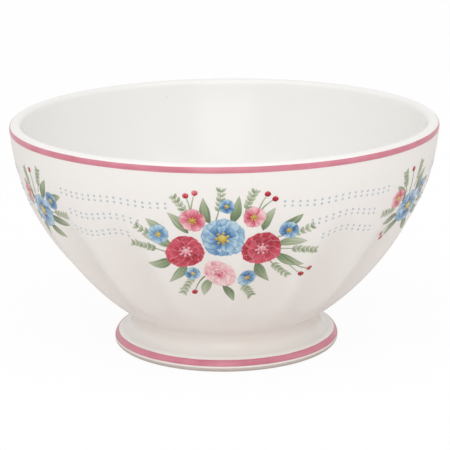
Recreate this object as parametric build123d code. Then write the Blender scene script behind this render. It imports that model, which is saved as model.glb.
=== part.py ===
from build123d import *
import os
from math import atan, atan2, cos, degrees, radians, sin, sqrt

# A fluted, footed drinking bowl. Millimetres and degrees.
# The bowl stands on z = 0 round the z axis. Its front faces -y, and angles run from there towards +x.

# Bowl
rim_diameter = 149.8
bowl_height = 80.9
lip_wall = 4.0
rim_flare = 3.5             # lean of the wall just under the lip
heel_diameter = 70.2        # where the lower curve of the side passes into the cove above the foot
heel_height = 12.1
belly_out_share = 0.54      # of the way out from heel to rim, where the upper curve meets the lower one
belly_up_share = 0.292      # of the way up
belly_wall = 6.4            # square to the side
cove_radius = 4.0
floor_thickness = 6.2

# Flutes, scooped out of the side by a round tool that runs down on a long arc
flute_count = 17
first_flute = -8.6          # angle of its hollow, from the front
flute_rise = 5.5            # from the heel up to where the tool leaves the side below
flute_drop = 21.0           # from the crown of the lip down to where it runs out above
flute_run_radius = 220.0
flute_tool_radius = 32.0

# Foot
foot_diameter = 80.0
foot_round = 1.3            # round of the foot's outer lower edge
rest_width = 5.7            # of the ring that the foot stands on
joint_width = 6.3           # of the ring where the foot is luted to the bowl
recess_round = 1.2          # round of the foot's inner lower edge

# Enamel lines, let into the glaze and standing a little proud of it
enamel_proud = 0.1
enamel_depth = 0.3
rim_band_drop = 0.8         # from the crown of the lip to the band
rim_band_width = 2.2
foot_band_height = 2.0
foot_band_width = 2.2


def down(lean):
    """Direction that runs down the side and leans in towards the axis."""
    return Vector(-sin(radians(lean)), -cos(radians(lean)))


def out(way):
    """Square to a direction that runs down the side, away from the axis."""
    return Vector(-way.Y, way.X)


def way_at_end(start, end, way):
    """Direction in which an arc reaches its end when it leaves its start in a given one."""
    chord = end - start
    turn = 2 * (atan2(chord.Y, chord.X) - atan2(way.Y, way.X))
    return Vector(way.X * cos(turn) - way.Y * sin(turn), way.X * sin(turn) + way.Y * cos(turn))


def side(proud):
    """Upper and lower curve of the outer side, standing proud of the glaze."""
    upper = TangentArc(
        side_top + out(top_way) * proud, belly + out(belly_way) * proud, tangent=top_way
    )
    lower = TangentArc(
        belly + out(belly_way) * proud, heel + out(heel_way) * proud, tangent=belly_way
    )
    return upper, lower


def on_side(height):
    """Point of the bare side at a height."""
    upper, lower = side(0)
    curve = upper if height > belly.Y else lower
    middle = curve.arc_center
    return Vector(middle.X + sqrt(curve.radius**2 - (height - middle.Y) ** 2), height)


def filled_bowl(proud):
    """Flat section of the bowl as if it were filled, from the axis to the side."""
    upper, lower = side(proud)
    crown = Vector(lip_middle.X, bowl_height + proud)
    lip = TangentArc(upper @ 0, crown, tangent=top_way * -1)
    inside = Polyline(crown, (0, crown.Y), (0, (lower @ 1).Y), lower @ 1)
    return make_face([upper, lower, lip, inside])


def foot_side(proud):
    """Lower half of the cove, and the swell below it down to the foot's widest place."""
    widest = Vector(foot_diameter / 2 + proud, foot_round)
    waist = Vector(waist_radius + proud, waist_height)
    cove = JernArc(waist, (0, -1), cove_radius - proud, foot_turn)
    return cove, TangentArc(cove @ 1, widest, tangent=cove % 1)


def filled_foot(proud):
    """Flat section of the foot as if it were filled, from the axis to its side."""
    cove, swell = foot_side(proud)
    inside = Polyline(swell @ 1, (0, foot_round), (0, waist_height), cove @ 0)
    return make_face([cove, swell, inside])


def turned(section):
    """Solid of revolution of a flat section."""
    return revolve(Plane.XZ * section, Axis.Z)


def band(section, low, width, from_radius):
    """Flat section of the enamel on the face of another section, from a height up, outside a radius."""
    zone = Pos(from_radius, low) * Rectangle(rim_diameter, width, align=(Align.MIN, Align.MIN))
    return (section(enamel_proud) - section(-enamel_depth)) & zone


def flute_wedge():
    """Wedge of one flute, along +x."""
    half_turn = radians(180 / flute_count)
    corner = Vector(rim_diameter * cos(half_turn), rim_diameter * sin(half_turn))
    plan = make_face(Polyline((0, 0), corner, (corner.X, -corner.Y), close=True))
    return extrude(plan, bowl_height)


def flute_scoop():
    """What the tool takes out for the flute along +x, cut off at the ridges beside it."""
    low, high = on_side(heel_height + flute_rise), on_side(bowl_height - flute_drop)
    half = (high - low).length / 2
    inward = Vector(low.Y - high.Y, high.X - low.X).normalized()
    middle = (low + high) * 0.5 + inward * sqrt(flute_run_radius**2 - half**2)
    tool = Torus(flute_run_radius + flute_tool_radius, flute_tool_radius)
    return Pos(middle.X, 0, middle.Y) * Rot(X=90) * tool & flute_wedge()


def fluted(solid):
    """A solid with every flute scooped out."""
    scoop = flute_scoop()
    step = 360 / flute_count
    return solid - [Rot(Z=first_flute + number * step - 90) * scoop for number in range(flute_count)]


# Places that follow from the sizes
top_way = down(rim_flare)
lip_half = lip_wall / 2
side_top = Vector(rim_diameter / 2, bowl_height - lip_half * (1 + sin(radians(rim_flare))))
lip_middle = side_top - out(top_way) * lip_half
heel = Vector(heel_diameter / 2, heel_height)
belly_out = (rim_diameter - heel_diameter) / 2 * belly_out_share
belly = heel + Vector(belly_out, (bowl_height - heel_height) * belly_up_share)
belly_way = way_at_end(side_top, belly, top_way)
heel_way = way_at_end(belly, heel, belly_way)
heel_lean = degrees(atan2(-heel_way.X, -heel_way.Y))
waist_radius = heel.X - cove_radius * (1 - cos(radians(heel_lean)))
waist_height = heel.Y - cove_radius * sin(radians(heel_lean))
floor_height = waist_height + floor_thickness
foot_turn = 2 * degrees(atan((foot_diameter / 2 - waist_radius) / (waist_height - foot_round)))

# Enamel lines round the lip and the foot
rim_line = band(filled_bowl, bowl_height - rim_band_drop - rim_band_width, rim_band_width, lip_middle.X)
foot_line = band(filled_foot, foot_band_height, foot_band_width, waist_radius)

# Bowl: lip, side, upper half of the cove, flat underside, and the inside
upper, lower = side(0)
cove = JernArc(heel, heel_way, cove_radius, heel_lean)
underside = Polyline(cove @ 1, (0, waist_height), (0, floor_height))
inside_top = side_top - out(top_way) * lip_wall
inside_belly = belly - out(belly_way) * belly_wall
inside_upper = TangentArc(inside_top, inside_belly, tangent=top_way)
inside_lower = Spline(inside_belly, (0, floor_height), tangents=[inside_upper % 1, (-1, 0)])
lip = TangentArc(side_top, inside_top, tangent=top_way * -1)
bowl_section = make_face([upper, lower, cove, underside, inside_lower, inside_upper, lip])
bowl_body = fluted(turned(bowl_section - rim_line))

# Foot: lower half of the cove, swell, rounded edge, resting ring and recess
cove, swell = foot_side(0)
rest_radius = foot_diameter / 2 - foot_round
edge = TangentArc(swell @ 1, (rest_radius, 0), tangent=(0, -1))
recess = FilletPolyline(
    edge @ 1,
    (rest_radius - rest_width, 0),
    (waist_radius - joint_width, waist_height),
    (waist_radius, waist_height),
    radius=[recess_round, 0],
)
foot_ring = turned(make_face([cove, swell, edge, recess]) - foot_line)

pieces = {
    "bowl_body": bowl_body,
    "foot_ring": foot_ring,
    "rim_band": turned(rim_line),
    "foot_band": turned(foot_line),
}
os.makedirs("parts", exist_ok=True)
for name, piece in pieces.items():
    export_step(Compound(piece.solids()), f"parts/{name}.step")
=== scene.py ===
# A fluted, footed drinking bowl for milky coffee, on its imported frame. Blender units are metres.
# It stands on z = 0 round the z axis, its front faces -y, and angles run from there towards +x.
import math
import random

import bmesh
import bpy
from mathutils import Matrix, Vector


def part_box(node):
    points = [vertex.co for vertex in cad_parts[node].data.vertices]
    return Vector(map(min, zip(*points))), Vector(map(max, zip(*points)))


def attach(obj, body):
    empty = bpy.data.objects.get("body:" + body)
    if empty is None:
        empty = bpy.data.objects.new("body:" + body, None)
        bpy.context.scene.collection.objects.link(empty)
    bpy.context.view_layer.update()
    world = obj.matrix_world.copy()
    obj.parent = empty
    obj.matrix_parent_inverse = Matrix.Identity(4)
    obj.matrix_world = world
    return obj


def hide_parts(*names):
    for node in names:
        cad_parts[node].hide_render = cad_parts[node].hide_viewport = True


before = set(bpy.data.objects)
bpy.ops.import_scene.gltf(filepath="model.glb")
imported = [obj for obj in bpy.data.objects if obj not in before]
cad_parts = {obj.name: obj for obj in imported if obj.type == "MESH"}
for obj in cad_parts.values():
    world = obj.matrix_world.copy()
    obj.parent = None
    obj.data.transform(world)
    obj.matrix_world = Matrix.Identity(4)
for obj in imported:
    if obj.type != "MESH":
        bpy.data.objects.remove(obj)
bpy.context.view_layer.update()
mm = 0.001


# The bowl: white porcelain, cast in a mould, with a rounded lip and flutes scooped out round its lower
# side. It is dipped in clear glaze, which rounds the ridges off and lies thicker in the hollows and at
# the waist above the foot; there its colour is painted warmer and darker, as painted shade.
enamel_proud = 0.1 * mm
bowl_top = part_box("bowl_body")[1][2]
waist_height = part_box("foot_ring")[1][2]
rim_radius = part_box("rim_band")[1][0] - enamel_proud
lip_wall = 4.0 * mm
rim_flare = math.radians(3.5)
heel = Vector((35.1 * mm, 12.1 * mm))
belly_out_share = 0.54
belly_up_share = 0.292
belly = heel + Vector(((rim_radius - heel.x) * belly_out_share, (bowl_top - heel.y) * belly_up_share))
belly_wall = 6.4 * mm
cove_radius = 4.0 * mm
floor_thickness = 6.2 * mm
floor_fullness = 0.36
flute_count = 17
flute_step = math.tau / flute_count
first_flute = math.radians(-8.6)
flute_rise = 5.5 * mm
flute_drop = 21.0 * mm
flute_run_radius = 220.0 * mm
flute_tool_radius = 32.0 * mm
glaze_softness = 0.35 * mm
# how far the pooled glaze and its painted shade reach from the waist, and the flute depth that gets the most
pool_and_shade_reach = 10.0 * mm
deepest_pool_and_shade = 5.0 * mm


def out(way):
    """Square to a direction that runs down the side, away from the axis."""
    return Vector((-way.y, way.x))


class Arc:
    """An arc in the flat section of the bowl, from its start, its first direction and its end."""

    def __init__(self, start, way, end):
        chord = end - start
        self.turn = 2 * (math.atan2(chord.y, chord.x) - math.atan2(way.y, way.x))
        self.start = start
        self.radius = chord.length / (2 * math.sin(self.turn / 2))
        self.middle = start + out(way) * self.radius
        self.last_way = Matrix.Rotation(self.turn, 2) @ way

    def points(self, steps):
        spoke = self.start - self.middle
        return [self.middle + Matrix.Rotation(self.turn * n / steps, 2) @ spoke for n in range(steps + 1)]

    def radius_at(self, height):
        return self.middle.x + math.sqrt(self.radius**2 - (height - self.middle.y) ** 2)


top_way = Vector((-math.sin(rim_flare), -math.cos(rim_flare)))
side_top = Vector((rim_radius, bowl_top - lip_wall / 2 * (1 + math.sin(rim_flare))))
upper_side = Arc(side_top, top_way, belly)
lower_side = Arc(belly, upper_side.last_way, heel)


def on_section(height):
    """Point of the bare side at a height, and the direction straight out of the side there."""
    side = upper_side if height > belly.y else lower_side
    point = Vector((side.radius_at(height), height))
    return point, (point - side.middle).normalized()


scoop_low = on_section(heel.y + flute_rise)[0]
scoop_high = on_section(bowl_top - flute_drop)[0]
scoop_half = (scoop_high - scoop_low) / 2
scoop_inward = Vector((-scoop_half.y, scoop_half.x)).normalized()
scoop_rise = math.sqrt(flute_run_radius**2 - scoop_half.length_squared)
scoop_middle = scoop_low + scoop_half + scoop_inward * scoop_rise


def flute_depth(angle, height):
    """How deep the flutes go into the side, with the ridges between them rounded by the glaze."""
    point = on_section(height)[0]
    beside = (angle - first_flute + flute_step / 2) % flute_step - flute_step / 2
    total = 1.0
    for shift in (-flute_step, 0.0, flute_step):
        across = point.x * math.sin(beside + shift)
        along = Vector((point.x * math.cos(beside + shift), height)) - scoop_middle
        from_ring = math.hypot(along.length - flute_run_radius - flute_tool_radius, across)
        total += math.exp((flute_tool_radius - from_ring) / glaze_softness)
    return glaze_softness * math.log(total)


def on_bowl(angle, height, proud=0.0):
    """Point on the glazed side."""
    point, straight_out = on_section(height)
    point = point + straight_out * (proud - flute_depth(angle, height))
    return Vector((point.x * math.sin(angle), -point.x * math.cos(angle), point.y))


weld = 0.001 * mm


def turned(outline, steps):
    """A bmesh of an outline turned once round the z axis."""
    mesh = bmesh.new()
    verts = [mesh.verts.new((point.x, 0, point.y)) for point in outline]
    edges = [mesh.edges.new(pair) for pair in zip(verts, verts[1:])]
    bmesh.ops.spin(
        mesh, geom=verts + edges, axis=(0, 0, 1), cent=(0, 0, 0), angle=math.tau, steps=steps, use_merge=True
    )
    bmesh.ops.remove_doubles(mesh, verts=mesh.verts, dist=weld)
    bmesh.ops.recalc_face_normals(mesh, faces=mesh.faces)
    return mesh


def make_piece(name, mesh, finishes, slot, *nodes):
    """Makes a smooth object of a bmesh, which rides on the bowl and stands for CAD nodes."""
    for face in mesh.faces:
        face.smooth = True
    data = bpy.data.meshes.new(name)
    mesh.to_mesh(data)
    mesh.free()
    for finish in finishes:
        data.materials.append(finish)
    piece = bpy.data.objects.new(name, data)
    bpy.context.scene.collection.objects.link(piece)
    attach(piece, "root")
    if nodes:
        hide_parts(*nodes)


class Shade:
    """A socket of a material, with operators that add Math nodes."""

    def __init__(self, socket):
        self.socket = socket

    @staticmethod
    def node(tree, kind, settings=None, inputs=None, output=0):
        """Adds a node: its settings first, then the values or links of its sockets."""
        made = tree.nodes.new("ShaderNode" + kind)
        for name, value in (settings or {}).items():
            if name != "stops":
                setattr(made, name, value)
                continue
            stops = made.color_ramp.elements
            while len(stops) < len(value):
                stops.new(1.0)
            for stop, (place, colour) in zip(stops, value):
                stop.position = place
                stop.color = (*colour, 1.0)
        for name, value in (inputs or {}).items():
            if isinstance(value, Shade):
                tree.links.new(value.socket, made.inputs[name])
            else:
                made.inputs[name].default_value = value
        return Shade(made.outputs[output])

    def math(self, operation, *others):
        inputs = dict(enumerate((self, *others)))
        return Shade.node(self.socket.id_data, "Math", {"operation": operation}, inputs)

    def __add__(self, other):
        return self.math("ADD", other)

    def __sub__(self, other):
        return self.math("SUBTRACT", other)

    def __rsub__(self, other):
        return self.math("MULTIPLY_ADD", -1.0, other)

    def __mul__(self, other):
        return self.math("MULTIPLY", other)

    __radd__ = __add__
    __rmul__ = __mul__

    def between(self, low, high):
        """From 0 at one value to 1 at another, smoothly."""
        settings = {"interpolation_type": "SMOOTHSTEP"}
        inputs = {"Value": self, "From Min": low, "From Max": high}
        return Shade.node(self.socket.id_data, "MapRange", settings, inputs)


def new_finish(name, index):
    """A material with one shader of a refractive index. Gives it, its tree and the place on the piece."""
    finish = bpy.data.materials.new(name)
    finish.use_nodes = True
    tree = finish.node_tree
    tree.nodes["Principled BSDF"].inputs["IOR"].default_value = index
    return finish, tree, Shade.node(tree, "TexCoord", output="Object")


def feed(tree, **varying):
    """Links what changes over a surface to the shader."""
    shader = tree.nodes["Principled BSDF"]
    for socket, value in varying.items():
        tree.links.new(value.socket, shader.inputs[socket.replace("_", " ")])


def layer_value(tree, layer):
    """The value that a layer of the mesh holds at each vertex."""
    return Shade.node(tree, "Attribute", {"attribute_name": layer}, output="Fac")


def blend(tree, share, first, second):
    """Mixes two colours."""
    settings = {"data_type": "RGBA"}
    return Shade.node(tree, "Mix", settings, {0: share, 6: first, 7: second}, output=2)


def cloud(tree, place, size, detail=2.0):
    """Soft noise from 0 to 1, with blotches of about a given size."""
    return Shade.node(tree, "TexNoise", {}, {"Vector": place, "Scale": 1 / size, "Detail": detail})


def relief(tree, height, strength, depth):
    """Low bumps for the shader's Normal."""
    return Shade.node(tree, "Bump", {}, {"Strength": strength, "Distance": depth, "Height": height})


def white_glaze():
    """Glossy clear glaze on white porcelain with a faint orange peel, and painted shade: warmer and darker
    where it pools at the waist and in the flute hollows.
    """
    white = (0.885, 0.873, 0.850, 1)
    warm = (0.815, 0.750, 0.695, 1)
    speck = (0.60, 0.55, 0.49, 1)
    patch_size = 40 * mm
    peel_size = 3 * mm
    peel_depth = 0.3 * mm
    speck_size = 0.9 * mm
    finish, tree, place = new_finish("white_glaze", 1.5)
    pooled = layer_value(tree, "pooled")
    uneven = cloud(tree, place, patch_size)
    peel = cloud(tree, place, peel_size, 3.0)
    # painted shade: the pooled layer makes the glaze warmer and darker at the waist and in the flute
    # hollows, over random patches
    shade_and_warmth = (pooled * 0.55 + (uneven - 0.5) * 0.35 + 0.06).between(0.0, 1.0)
    specks = cloud(tree, place, speck_size, 0.0).between(0.80, 0.86)
    colour = blend(tree, specks * 0.35, blend(tree, shade_and_warmth, white, warm), speck)
    roughness = 0.18 + peel * 0.06 + specks * 0.2
    feed(tree, Base_Color=colour, Roughness=roughness, Normal=relief(tree, peel + uneven, 0.05, peel_depth))
    return finish


heel_way = lower_side.last_way
heel_lean = math.atan2(-heel_way.x, -heel_way.y)
waist = heel + Vector((math.cos(heel_lean) - 1, -math.sin(heel_lean))) * cove_radius
cove = Arc(heel, heel_way, waist)
inside_top = side_top - out(top_way) * lip_wall
inside_belly = belly - out(upper_side.last_way) * belly_wall
lip = Arc(inside_top, -top_way, side_top)
inside_upper = Arc(inside_top, top_way, inside_belly)
inside_floor = Vector((0.0, waist_height + floor_thickness))
floor_pull = floor_fullness * (inside_belly - inside_floor).length


def floor_curve(share):
    """Point of the round bottom inside, from the belly to the middle of the floor."""
    near = inside_belly + inside_upper.last_way * floor_pull
    far = inside_floor + Vector((floor_pull, 0.0))
    rest = 1 - share
    point = inside_belly * rest**3
    point += near * 3 * rest**2 * share
    point += far * 3 * rest * share**2
    point += inside_floor * share**3
    return point


def pool_and_shade_at_waist(mesh):
    """Notes how thick the glaze lies round the waist, which is also how much painted shade goes there, in a
    new layer of the mesh.
    """
    layer = mesh.verts.layers.float.new("pooled")
    for vert in mesh.verts:
        vert[layer] = max(0.0, 1 - abs(vert.co.z - waist.y) / pool_and_shade_reach)
    return layer


def crease_at_waist(mesh):
    """Keeps the edges sharp where the foot is luted to the bowl."""
    joint_depth = 0.01 * mm
    for edge in mesh.edges:
        edge.smooth = not all(abs(vert.co.z - waist.y) < joint_depth for vert in edge.verts)


floor_steps = 24
underside_share = 0.7
bowl_outline = [Vector((0.0, waist.y)), Vector((waist.x * underside_share, waist.y))]
bowl_outline += cove.points(8)[::-1]
bowl_outline += lower_side.points(40)[::-1][1:]
bowl_outline += upper_side.points(52)[::-1][1:]
bowl_outline += lip.points(16)[::-1][1:]
bowl_outline += inside_upper.points(26)[1:]
bowl_outline += [floor_curve(n / floor_steps) for n in range(1, floor_steps + 1)]
steps_per_flute = 24
bowl_mesh = turned(bowl_outline, steps_per_flute * flute_count)
pooling_and_shade = pool_and_shade_at_waist(bowl_mesh)
clear = 0.1 * mm
for vert in bowl_mesh.verts:
    height = vert.co.z
    if not heel.y + clear < height < side_top.y - clear:
        continue
    bare = on_section(height)[0]
    if abs(math.hypot(vert.co.x, vert.co.y) - bare.x) > clear:
        continue
    angle = math.atan2(vert.co.x, -vert.co.y)
    # the flute hollows get painted shade in the same layer, by how deep they go
    vert[pooling_and_shade] = max(vert[pooling_and_shade], min(flute_depth(angle, height) / deepest_pool_and_shade, 1.0))
    vert.co = on_bowl(angle, height)
crease_at_waist(bowl_mesh)
glazed_white = white_glaze()
make_piece("bowl", bowl_mesh, [glazed_white], "white_glaze", "bowl_body")


# The foot: a flared porcelain ring, turned apart and luted to the bowl at the waist, hollow underneath.
# It is glazed with the bowl, but its lower edge and the ring that it stands on are wiped bare, and that
# bare band is painted dark, as painted shade where the foot meets the floor.
foot_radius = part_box("foot_ring")[1][0]
foot_round = 1.3 * mm
rest_width = 5.7 * mm
joint_width = 6.3 * mm
recess_round = 1.2 * mm
wiped_and_shaded_height = 1.65 * mm
foot_widest = Vector((foot_radius, foot_round))
foot_turn = 2 * math.atan((foot_radius - waist.x) / (waist.y - foot_round))
cove_end = waist + Vector((1 - math.cos(foot_turn), -math.sin(foot_turn))) * cove_radius
foot_cove = Arc(waist, Vector((0, -1)), cove_end)
swell = Arc(cove_end, foot_cove.last_way, foot_widest)
rest_out = Vector((foot_radius - foot_round, 0.0))
rest_in = rest_out - Vector((rest_width - recess_round, 0.0))
recess_low = rest_in + Vector((-recess_round, recess_round))
foot_outline = foot_cove.points(14) + swell.points(22)[1:]
foot_outline += Arc(foot_widest, Vector((0, -1)), rest_out).points(10)[1:]
foot_outline += [rest_in]
foot_outline += Arc(rest_in, Vector((-1, 0)), recess_low).points(6)[1:]
foot_outline += [waist - Vector((joint_width, 0.0)), waist]


def shaded_bare_biscuit():
    """Unglazed porcelain, matt and a little sandy, painted dark as painted shade where the foot meets the
    floor.
    """
    pale = (0.66, 0.60, 0.56, 1)
    stained = (0.52, 0.46, 0.42, 1)
    grain_size = 0.5 * mm
    grain_depth = 0.1 * mm
    stain_size = 9 * mm
    finish, tree, place = new_finish("shaded_bare_biscuit", 1.45)
    grain = cloud(tree, place, grain_size, 4.0)
    stain = cloud(tree, place, stain_size)
    colour = blend(tree, grain * 0.5 + stain * 0.3, pale, stained)
    sandy = relief(tree, grain, 0.25, grain_depth)
    feed(tree, Base_Color=colour, Roughness=0.75 + grain * 0.2, Normal=sandy)
    return finish


foot_steps = 180
foot_mesh = turned(foot_outline, foot_steps)
# painted shade on the foot near the waist, as on the bowl
pool_and_shade_at_waist(foot_mesh)
# the bare bottom band of the foot is painted dark: painted shade where the foot meets the floor
for face in foot_mesh.faces:
    if all(vert.co.z < wiped_and_shaded_height for vert in face.verts):
        face.material_index = 1
crease_at_waist(foot_mesh)
make_piece("foot", foot_mesh, [glazed_white, shaded_bare_biscuit()], "white_glaze", "foot_ring")


# The two pink lines: soft enamel, laid on with a brush while the bowl turns on a wheel and fired into
# the glaze. The edges of a line waver a little, and the colour lies thicker in some places.
rim_band_drop = 0.8 * mm
band_width = 2.2 * mm
band_sunk = 0.15 * mm
waver_height = 0.025 * mm


def pink_enamel():
    """Glossy rose enamel, with faint brush marks round the bowl."""
    thin = (0.68, 0.255, 0.325, 1)
    full = (0.56, 0.150, 0.215, 1)
    mark_length = 26 * mm
    mark_squeeze = (1, 1, 14)
    mark_depth = 0.1 * mm
    patch_size = 7 * mm
    finish, tree, place = new_finish("pink_enamel", 1.5)
    squeezed = Shade.node(tree, "Mapping", {}, {"Vector": place, "Scale": mark_squeeze})
    brushed = cloud(tree, squeezed, mark_length, 4.0)
    thick = cloud(tree, place, patch_size)
    share = (brushed * 0.6 + thick * 0.5 - 0.05).between(0.25, 0.85)
    colour = blend(tree, share, thin, full)
    marks = relief(tree, brushed, 0.06, mark_depth)
    feed(tree, Base_Color=colour, Roughness=0.10 + thick * 0.08, Normal=marks)
    return finish


def line_mesh(face, steps):
    """A closed ring of enamel over a stretch of the section, given as points and ways out of it."""
    proud = [point + way * enamel_proud for point, way in face[1:-1]]
    sunk = [point - way * band_sunk for point, way in face]
    mesh = turned(sunk[:1] + proud + sunk[::-1], steps)
    middle = sum(point.y for point, _ in face) / len(face)
    for vert in mesh.verts:
        angle = math.atan2(vert.co.x, -vert.co.y)
        side = 1 if vert.co.z > middle else -1
        waver = math.sin(angle * 7 + side)
        waver += 0.6 * math.sin(angle * 17 + 2 * side)
        waver += 0.4 * math.sin(angle * 31)
        vert.co.z += waver * waver_height
    return mesh


rose = pink_enamel()
rim_line_steps = 360
lip_middle = side_top - out(top_way) * (lip_wall / 2)
rim_band_high = bowl_top - rim_band_drop
rim_band_low = rim_band_high - band_width
below_lip_steps = 8
rim_face = []
for n in range(below_lip_steps):
    height = rim_band_low + (side_top.y - rim_band_low) * n / below_lip_steps
    rim_face.append(on_section(height))
for point in lip.points(40)[::-1]:
    if point.y <= rim_band_high and point.x > lip_middle.x:
        rim_face.append((point, (point - lip_middle).normalized()))
make_piece("rim_line", line_mesh(rim_face, rim_line_steps), [rose], "pink_enamel", "rim_band")

foot_line_steps = 240
foot_band_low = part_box("foot_band")[0][2]
up_swell_steps = 12
swell_face = []
for n in range(up_swell_steps + 1):
    height = foot_band_low + band_width * n / up_swell_steps
    point = Vector((swell.radius_at(height), height))
    swell_face.append((point, (point - swell.middle).normalized()))
make_piece("foot_line", line_mesh(swell_face, foot_line_steps), [rose], "pink_enamel", "foot_band")


# The dots: three double rings of pale blue enamel, printed on the glaze and left open where the posies
# come. The transfer climbs a little in each flute as it is smoothed down, so the rings wave, and the
# enamel draws together in the fire, so each dot is a low round bead.
dot_width = 0.88 * mm
dot_rise = 0.09 * mm
dot_step = math.radians(2)
ring_half_gap = 0.75 * mm
posy_step = math.radians(60)
# height, climb in a flute, and the angles left open to each side of a large posy and of a small one
dot_rings = {
    "upper": (66.8 * mm, 0.35 * mm, math.radians(14), math.radians(12)),
    "middle": (60.4 * mm, 0.85 * mm, math.radians(22), math.radians(15)),
    "lower": (54.3 * mm, 0.90 * mm, math.radians(26), math.radians(15)),
}


def pale_blue_enamel():
    """Pale blue enamel, thinner on some dots than on others."""
    thin = (0.57, 0.65, 0.72, 1)
    full = (0.43, 0.54, 0.65, 1)
    patch_size = 4 * mm
    fleck_size = 0.5 * mm
    finish, tree, place = new_finish("pale_blue_enamel", 1.5)
    thick = cloud(tree, place, patch_size)
    flecks = cloud(tree, place, fleck_size, 1.0)
    share = (thick * 0.7 + flecks * 0.4 - 0.05).between(0.25, 0.80)
    feed(tree, Base_Color=blend(tree, share, thin, full), Roughness=0.12 + flecks * 0.1)
    return finish


def lies_on_bowl(angle, height):
    """Matrix that lays a flat shape on the side: x along the ring, y up the side, z straight out."""
    small = 0.2 * mm
    turn = small / rim_radius
    across = (on_bowl(angle + turn, height) - on_bowl(angle - turn, height)).normalized()
    up = (on_bowl(angle, height + small) - on_bowl(angle, height - small)).normalized()
    straight_out = across.cross(up)
    turned_axes = Matrix((across, up, straight_out)).transposed().to_4x4()
    return Matrix.Translation(on_bowl(angle, height)) @ turned_axes


pale_blue = pale_blue_enamel()
dot_shape = Matrix.Diagonal((dot_width / 2, dot_width / 2, dot_rise, 1))
for ring_name, (ring_height, climb, beside_large, beside_small) in dot_rings.items():
    ring_mesh = bmesh.new()
    for n in range(round(math.tau / dot_step)):
        angle = (n + 0.5) * dot_step
        from_large = abs((angle + posy_step) % (2 * posy_step) - posy_step)
        if from_large < beside_large or posy_step - from_large < beside_small:
            continue
        middle = ring_height + climb * math.cos((angle - first_flute) * flute_count)
        for height in (middle - ring_half_gap, middle + ring_half_gap):
            place = lies_on_bowl(angle, height) @ dot_shape
            bmesh.ops.create_uvsphere(ring_mesh, u_segments=10, v_segments=4, radius=1, matrix=place)
    make_piece("dot_ring_" + ring_name, ring_mesh, [pale_blue], "blue_enamel")


# The posies: garden flowers, three large bunches and three small ones by turns, printed in soft enamels
# and fired on the glaze. Each petal and leaf is a brush stroke that lies over the ones below it, so the
# print stands up in thin steps. The flat print is drawn in millimetres and then laid on the side.
large_height = 51.9 * mm
small_height = 57.5 * mm
stroke_thickness = 0.03 * mm
stroke_layers = ("along", "aside", "tone")
sharp_angle = math.radians(40)
painter = random.Random(11)


def stroke_paint(name, root, middle, tip, edge):
    """Soft enamel, shaded from the root of a stroke to its tip, with the streaks of a brush."""
    grain_size = 0.6 * mm
    finish, tree, place = new_finish(name, 1.5)
    along, aside, tone = (layer_value(tree, layer) for layer in stroke_layers)
    bristles = Shade.node(tree, "CombineXYZ", {}, {"X": aside * 2.6, "Y": along * 0.9, "Z": tone * 30})
    streak = cloud(tree, bristles, 1.0, 3.0)
    grain = cloud(tree, place, grain_size, 3.0)
    shade = along * 0.9 + (tone - 0.5) * 0.55 + (streak - 0.5) * 1.3 + (grain - 0.5) * 0.2
    ramp = {"stops": ((0.0, root), (0.45, middle), (1.0, tip))}
    colour = Shade.node(tree, "ValToRGB", ramp, {"Fac": shade})
    border = aside.math("ABSOLUTE").between(0.70, 1.0) * (0.25 + streak * 0.5)
    feed(tree, Base_Color=blend(tree, border, colour, (*edge, 1)), Roughness=0.12 + grain * 0.12)
    return finish


# root, middle, tip and edge of a stroke
paint_shades = {
    "leaf_green": ((0.13, 0.19, 0.10), (0.29, 0.37, 0.22), (0.53, 0.58, 0.44), (0.22, 0.30, 0.17)),
    "sprig_green": ((0.26, 0.33, 0.20), (0.40, 0.46, 0.32), (0.58, 0.62, 0.50), (0.33, 0.40, 0.26)),
    "crimson": ((0.22, 0.006, 0.018), (0.44, 0.014, 0.042), (0.64, 0.085, 0.135), (0.78, 0.33, 0.38)),
    "rose_pink": ((0.50, 0.035, 0.085), (0.74, 0.24, 0.31), (0.88, 0.60, 0.62), (0.66, 0.15, 0.22)),
    "blush": ((0.66, 0.14, 0.21), (0.82, 0.42, 0.47), (0.90, 0.72, 0.72), (0.74, 0.27, 0.34)),
    "cornflower": ((0.030, 0.095, 0.27), (0.15, 0.33, 0.55), (0.46, 0.64, 0.76), (0.060, 0.18, 0.40)),
    "stamen_yellow": ((0.42, 0.25, 0.03), (0.62, 0.50, 0.08), (0.72, 0.64, 0.24), (0.50, 0.34, 0.05)),
    "berry_red": ((0.30, 0.008, 0.022), (0.52, 0.022, 0.050), (0.78, 0.24, 0.27), (0.36, 0.010, 0.03)),
}
paints = [stroke_paint(name, *shades) for name, shades in paint_shades.items()]
paint_names = list(paint_shades)
stroke_swells = {
    "petal": lambda along: 1.43 * along**0.6 * math.sqrt(max(0.0, 1 - along**5)),
    "leaf": lambda along: math.sin(math.pi * along**0.8) ** 0.9 if 0 < along < 1 else 0.0,
    "stem": lambda along: 1.0 - 0.35 * along,
    "bead": lambda along: 2 * math.sqrt(max(0.0, along - along**2)),
}


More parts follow.
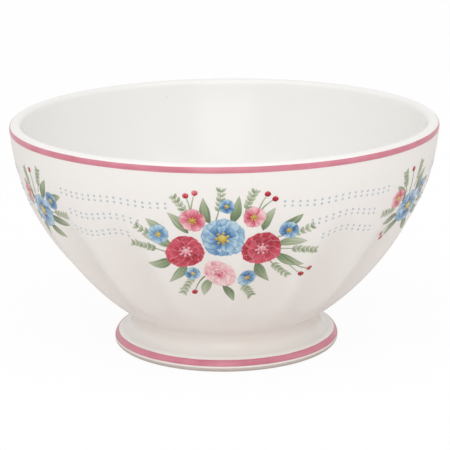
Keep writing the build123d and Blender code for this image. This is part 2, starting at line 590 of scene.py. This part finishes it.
def stroke(flat, start, end, width, paint, shape, lift, bend=0.0, cleft=0.0):
    """Adds a brush stroke to the flat print: a grid that swells and closes again."""
    column_width = 1.4
    row_length = 0.8
    start, end = Vector(start), Vector(end)
    reach = end - start
    beside = Vector((reach.y, -reach.x)).normalized()
    columns = max(2, 2 * math.ceil(width / column_width))
    rows = max(5, math.ceil(reach.length / row_length))
    grid = bmesh.ops.create_grid(flat, x_segments=columns, y_segments=rows, size=0.5)["verts"]
    along_layer, aside_layer, tone_layer = (flat.verts.layers.float[layer] for layer in stroke_layers)
    tone = painter.random()
    for vert in grid:
        along = vert.co.y + 0.5
        aside = vert.co.x * 2
        vert[along_layer], vert[aside_layer], vert[tone_layer] = along, aside, tone
        reached = along * (1 - cleft * (1 - abs(aside)) * along**3)
        middle = start + reach * reached + beside * bend * math.sin(math.pi * along)
        uneven = 1 + 0.06 * math.sin(9 * along + 20 * tone)
        half = width / 2 * stroke_swells[shape](along) * uneven
        place = middle + beside * aside * half
        vert.co = (place.x, place.y, lift)
    for face in {face for vert in grid for face in vert.link_faces}:
        face.material_index = paint_names.index(paint)


def bead(flat, place, width, paint, lift):
    """A round berry, bud or stamen."""
    half = Vector((0, width / 2))
    stroke(flat, Vector(place) - half, Vector(place) + half, width, paint, "bead", lift)


# paint, rings of petals, paint of the heart, and how deep the tip of a petal is cleft
flower_kinds = {
    "bluet": ("cornflower", 1, "stamen_yellow", 0.15),
    "anemone": ("cornflower", 2, "stamen_yellow", 0.25),
    "wild_rose": ("rose_pink", 1, "stamen_yellow", 0.2),
    "dahlia": ("crimson", 3, "blush", 0.0),
    "carnation": ("blush", 3, "rose_pink", 0.1),
}


def blossom(flat, place, radius, petals, kind):
    """A flower seen from the front: rings of petals, the outer ones first, and its heart."""
    petal_lift = 0.07
    heart_lift = 0.08
    ring_lift = 0.045
    next_petal_lift = 0.003
    stamens = 7
    paint, rings, heart, cleft = flower_kinds[kind]
    place = Vector(place)
    twist = painter.uniform(0, math.tau)
    for ring in range(rings):
        reach = radius * (1 - 0.29 * ring)
        count = max(4, petals - 2 * ring)
        broad = min(2.5 * reach * math.sin(math.pi / count), reach)
        for n in range(count):
            way = twist + (n + 0.5 * ring) * math.tau / count + painter.uniform(-0.08, 0.08)
            spoke = Vector((math.sin(way), math.cos(way)))
            root = place + spoke * radius * 0.08
            tip = place + spoke * reach * painter.uniform(0.92, 1.05)
            lift = petal_lift + ring_lift * ring + next_petal_lift * n
            stroke(flat, root, tip, broad, paint, "petal", lift, cleft=cleft)
    top = heart_lift + ring_lift * rings
    bead(flat, place, radius * 0.42, heart, top)
    for n in range(stamens):
        way = twist + n * math.tau / stamens
        bead(flat, place + Vector((math.sin(way), math.cos(way))) * radius * 0.27, radius * 0.13, heart, top)


def sprig(flat, foot, tip, pairs, bend):
    """A thin stem with small leaves in pairs."""
    stem_width, stem_lift = 0.45, 0.04
    leaf_width, leaf_lift, leaf_reach = 1.1, 0.045, 1.5
    bare_share = 0.3
    foot, tip = Vector(foot), Vector(tip)
    reach = tip - foot
    beside = Vector((reach.y, -reach.x)).normalized()
    stroke(flat, foot, tip, stem_width, "sprig_green", "stem", stem_lift, bend)
    for n in range(pairs):
        along = bare_share + (1 - bare_share) * n / pairs
        joint = foot + reach * along + beside * bend * math.sin(math.pi * along)
        for side in (1, -1):
            leaf_tip = joint + reach.normalized() * leaf_reach + beside * side * painter.uniform(1.2, 1.8)
            stroke(flat, joint, leaf_tip, leaf_width, "sprig_green", "leaf", leaf_lift)


def leaf(flat, foot, tip, width, bend):
    """A leaf and the vein along its middle."""
    vein_width, vein_lift, vein_share = 0.35, 0.006, 0.85
    foot, tip = Vector(foot), Vector(tip)
    lift = 0.05 + 0.008 * painter.random()
    stroke(flat, foot, tip, width, "leaf_green", "leaf", lift, bend)
    stroke(flat, foot, foot.lerp(tip, vein_share), vein_width, "leaf_green", "stem", lift + vein_lift, bend)


def berry(flat, foot, tip, bend):
    """A berry on its stem."""
    stem_width, stem_lift = 0.5, 0.062
    berry_width, berry_lift = 2.0, 0.07
    stroke(flat, foot, tip, stem_width, "leaf_green", "stem", stem_lift, bend)
    bead(flat, tip, berry_width, "berry_red", berry_lift)


def posy(sprigs, leaves, berries, blossoms):
    """The flat print of a bunch: what lies lowest comes first."""
    flat = bmesh.new()
    for layer in stroke_layers:
        flat.verts.layers.float.new(layer)
    for parts, draw in ((sprigs, sprig), (leaves, leaf), (berries, berry), (blossoms, blossom)):
        for part in parts:
            draw(flat, *part)
    return flat


# sprigs: foot, tip, pairs of leaves, bend; leaves: foot, tip, width, bend; berries: foot, tip, bend;
# blossoms: middle, radius, petals in the outer ring, kind
large_posy = posy(
    sprigs=(
        ((-3, 10), (-1.5, 21.5), 5, 0.6),
        ((6, 11), (10, 20.5), 5, -0.6),
        ((-11, 9), (-17, 18.5), 5, 0.7),
        ((-19, -2), (-31, -0.5), 6, 0.8),
        ((-18, 2), (-29.5, 7.5), 5, -0.6),
        ((18, -2), (30, -3.5), 6, -0.8),
        ((17, 3), (29, 7), 5, 0.6),
        ((-9, -12), (-14.5, -20.5), 5, 0.6),
        ((4, -14), (8.5, -22), 5, -0.5),
        ((14, -6), (21, -13), 5, 0.7),
    ),
    leaves=(
        ((-17, 0), (-26.5, 3.5), 3.4, 0.8),
        ((-17, -5), (-25.5, -7.5), 3.6, -0.7),
        ((-13, -8), (-18.5, -14.5), 3.4, -0.6),
        ((-5, -14), (-7.5, -21.5), 3.2, 0.5),
        ((-1, -15), (2.5, -22.0), 3.0, -0.5),
        ((10, -7), (14.5, -16.0), 3.6, 0.7),
        ((16, -4), (25.5, -8.0), 3.6, 0.8),
        ((17, 0), (26.5, 1.0), 3.2, -0.7),
        ((18, 7), (25, 11.0), 2.9, 0.5),
        ((-19, 6), (-25.5, 10.0), 2.9, -0.5),
        ((-12, 5), (-18.5, 12.5), 3.4, 0.6),
        ((-5, 9), (-7, 18.0), 3.2, -0.6),
        ((2, 9), (4.5, 18.5), 3.2, 0.5),
        ((12, 6), (16, 14.0), 3.2, -0.6),
    ),
    berries=(
        ((-11, 10), (-12.5, 18.5), 0.5),
        ((-11, 10), (-9.6, 19.5), -0.4),
        ((10, 11), (13.5, 18.8), -0.5),
        ((10, 11), (15.9, 17.0), -0.8),
        ((18, -4), (27.5, -10.5), 0.8),
        ((18, -4), (24.5, -12.0), 0.6),
        ((-7, -13), (-10.5, -20.0), 0.5),
    ),
    blossoms=(
        ((-21.5, 4.5), 3.5, 6, "bluet"),
        ((20.5, 5.5), 3.3, 6, "bluet"),
        ((7.0, -13.0), 3.2, 6, "bluet"),
        ((-11.0, -12.0), 2.7, 5, "bluet"),
        ((0.5, 15.0), 2.6, 5, "bluet"),
        ((-10.5, 9.8), 4.2, 5, "wild_rose"),
        ((9.2, 11.0), 3.8, 5, "wild_rose"),
        ((-13.0, -2.5), 6.6, 10, "dahlia"),
        ((11.8, -1.5), 7.0, 11, "dahlia"),
        ((-2.2, -10.8), 5.6, 9, "carnation"),
        ((-1.0, 3.6), 7.4, 12, "anemone"),
    ),
)
small_posy = posy(
    sprigs=(
        ((5, 0), (16, 0.5), 5, 0.5),
        ((-5, 1), (-16.5, 0.0), 5, -0.5),
        ((1, 6), (4, 15), 5, 0.4),
        ((-4, 5), (-7.5, 13.5), 5, -0.4),
    ),
    leaves=(
        ((-4, 2), (-11, 8.5), 3.2, 0.5),
        ((3, 4), (8, 11.5), 3.2, -0.5),
        ((4, -2), (13.5, -4.0), 3.4, 0.6),
        ((-4, -3), (-13, -4.5), 3.4, -0.6),
        ((2, -5), (6.5, -10.5), 3.0, 0.5),
        ((-2, -5), (-4.5, -11.5), 3.0, 0.4),
        ((8, 4), (15, 7.0), 2.8, -0.4),
    ),
    berries=(
        ((-2, 5), (-2.5, 13.0), 0.4),
        ((-3, -6), (-8.0, -9.8), 0.5),
        ((-3, -6), (-6.0, -12.0), 0.3),
    ),
    blossoms=(
        ((8.5, 4.2), 3.3, 6, "bluet"),
        ((-8.8, 3.8), 3.6, 5, "wild_rose"),
        ((0.4, -0.6), 6.0, 11, "anemone"),
    ),
)
posies = (
    ("front", large_posy, large_height),
    ("right", small_posy, small_height),
    ("back_right", large_posy, large_height),
    ("back", small_posy, small_height),
    ("back_left", large_posy, large_height),
    ("left", small_posy, small_height),
)
for number, (place, flat, middle) in enumerate(posies):
    posy_mesh = flat.copy()
    for vert in posy_mesh.verts:
        height = middle + vert.co.y * mm
        angle = number * posy_step + math.asin(vert.co.x * mm / on_section(height)[0].x)
        vert.co = on_bowl(angle, height, vert.co.z * mm)
    bmesh.ops.remove_doubles(posy_mesh, verts=posy_mesh.verts, dist=weld)
    posy_mesh.normal_update()
    bmesh.ops.solidify(posy_mesh, geom=posy_mesh.faces[:], thickness=stroke_thickness)
    for edge in posy_mesh.edges:
        edge.smooth = edge.calc_face_angle(0.0) < sharp_angle
    make_piece("posy_" + place, posy_mesh, paints, "flower_enamel")
large_posy.free()
small_posy.free()


# The stage: a plain floor that looks white and keeps the bowl's shadow, a tent of five wide soft lamps
# round it in a pale studio, and a camera that looks down a little on the bowl's front.
white = (1, 1, 1, 1)
floor_radius = 4.0


def white_floor():
    """White to the camera and in reflections, and a warm light grey to the light that it throws back."""
    thrown_back = (0.80, 0.755, 0.73, 1)
    seen_white = 0.92
    mirrored_white = 0.1
    finish = bpy.data.materials.new("white_floor")
    finish.use_nodes = True
    tree = finish.node_tree
    tree.nodes.clear()
    seen = Shade.node(tree, "LightPath", output="Is Camera Ray")
    mirrored = Shade.node(tree, "LightPath", output="Is Glossy Ray")
    lit = Shade.node(tree, "BsdfDiffuse", {}, {"Color": blend(tree, seen, thrown_back, white)})
    plain = Shade.node(tree, "Emission", {}, {"Color": white, "Strength": 1.0})
    share = seen * seen_white + mirrored * mirrored_white
    mixed = Shade.node(tree, "MixShader", {}, {0: share, 1: lit, 2: plain})
    end = tree.nodes.new("ShaderNodeOutputMaterial")
    tree.links.new(mixed.socket, end.inputs["Surface"])
    return finish


floor_mesh = bmesh.new()
bmesh.ops.create_circle(floor_mesh, cap_ends=True, radius=floor_radius, segments=64)
floor_data = bpy.data.meshes.new("floor")
floor_mesh.to_mesh(floor_data)
floor_mesh.free()
floor_data.materials.append(white_floor())
floor = bpy.data.objects.new("floor", floor_data)
bpy.context.scene.collection.objects.link(floor)

studio_level = 0.65
world = bpy.data.worlds.new("studio")
bpy.context.scene.world = world
world.use_nodes = True
sky = world.node_tree
walls = sky.nodes["Background"]
walls.inputs["Color"].default_value = white
walls.inputs["Strength"].default_value = studio_level
shown = Shade.node(sky, "Background", {}, {"Color": white, "Strength": 1.0})
camera_ray = Shade.node(sky, "LightPath", output="Is Camera Ray")
studio = Shade.node(sky, "MixShader", {}, {0: camera_ray, 1: Shade(walls.outputs[0]), 2: shown})
sky.links.new(studio.socket, sky.nodes["World Output"].inputs["Surface"])


def soft_box(name, place, aim, width, height, power):
    """A rectangular lamp that faces a point."""
    data = bpy.data.lights.new(name, "AREA")
    data.shape = "RECTANGLE"
    data.size = width
    data.size_y = height
    data.energy = power
    lamp = bpy.data.objects.new(name, data)
    lamp.location = place
    lamp.rotation_euler = (Vector(aim) - Vector(place)).to_track_quat("-Z", "Y").to_euler()
    bpy.context.scene.collection.objects.link(lamp)


tent_half = 1.3
tent_width = 2 * tent_half
front_width = 0.9
wall_middle = tent_half / 2
tent_panels = (
    ("front", (0, -tent_half, wall_middle), (0, 0, wall_middle), front_width, tent_half, 4.9),
    ("left", (-tent_half, 0, wall_middle), (0, 0, wall_middle), tent_width, tent_half, 2.5),
    ("right", (tent_half, 0, wall_middle), (0, 0, wall_middle), tent_width, tent_half, 1.5),
    ("back", (0, tent_half, wall_middle), (0, 0, wall_middle), tent_width, tent_half, 2.6),
    ("roof", (0, -wall_middle, tent_half), (0, -wall_middle, 0), tent_width, tent_half, 8.0),
)
for panel in tent_panels:
    soft_box(*panel)

camera_far = 0.67965
camera_rise = math.radians(15.033)
camera_roll = math.radians(-0.593)
turn_point = Vector((0, 0, 0.0389))
aim_point = Vector((-0.00011, 0, 0.04148))
camera_data = bpy.data.cameras.new("camera")
camera_data.lens = 152.8
camera_data.sensor_width = 36.0
camera = bpy.data.objects.new("camera", camera_data)
camera.location = turn_point + Vector((0, -math.cos(camera_rise), math.sin(camera_rise))) * camera_far
facing = (aim_point - camera.location).to_track_quat("-Z", "Y").to_matrix()
camera.rotation_euler = (facing @ Matrix.Rotation(camera_roll, 3, "Z")).to_euler()
bpy.context.scene.collection.objects.link(camera)
bpy.context.scene.camera = camera
bpy.context.scene.view_settings.view_transform = "Standard"
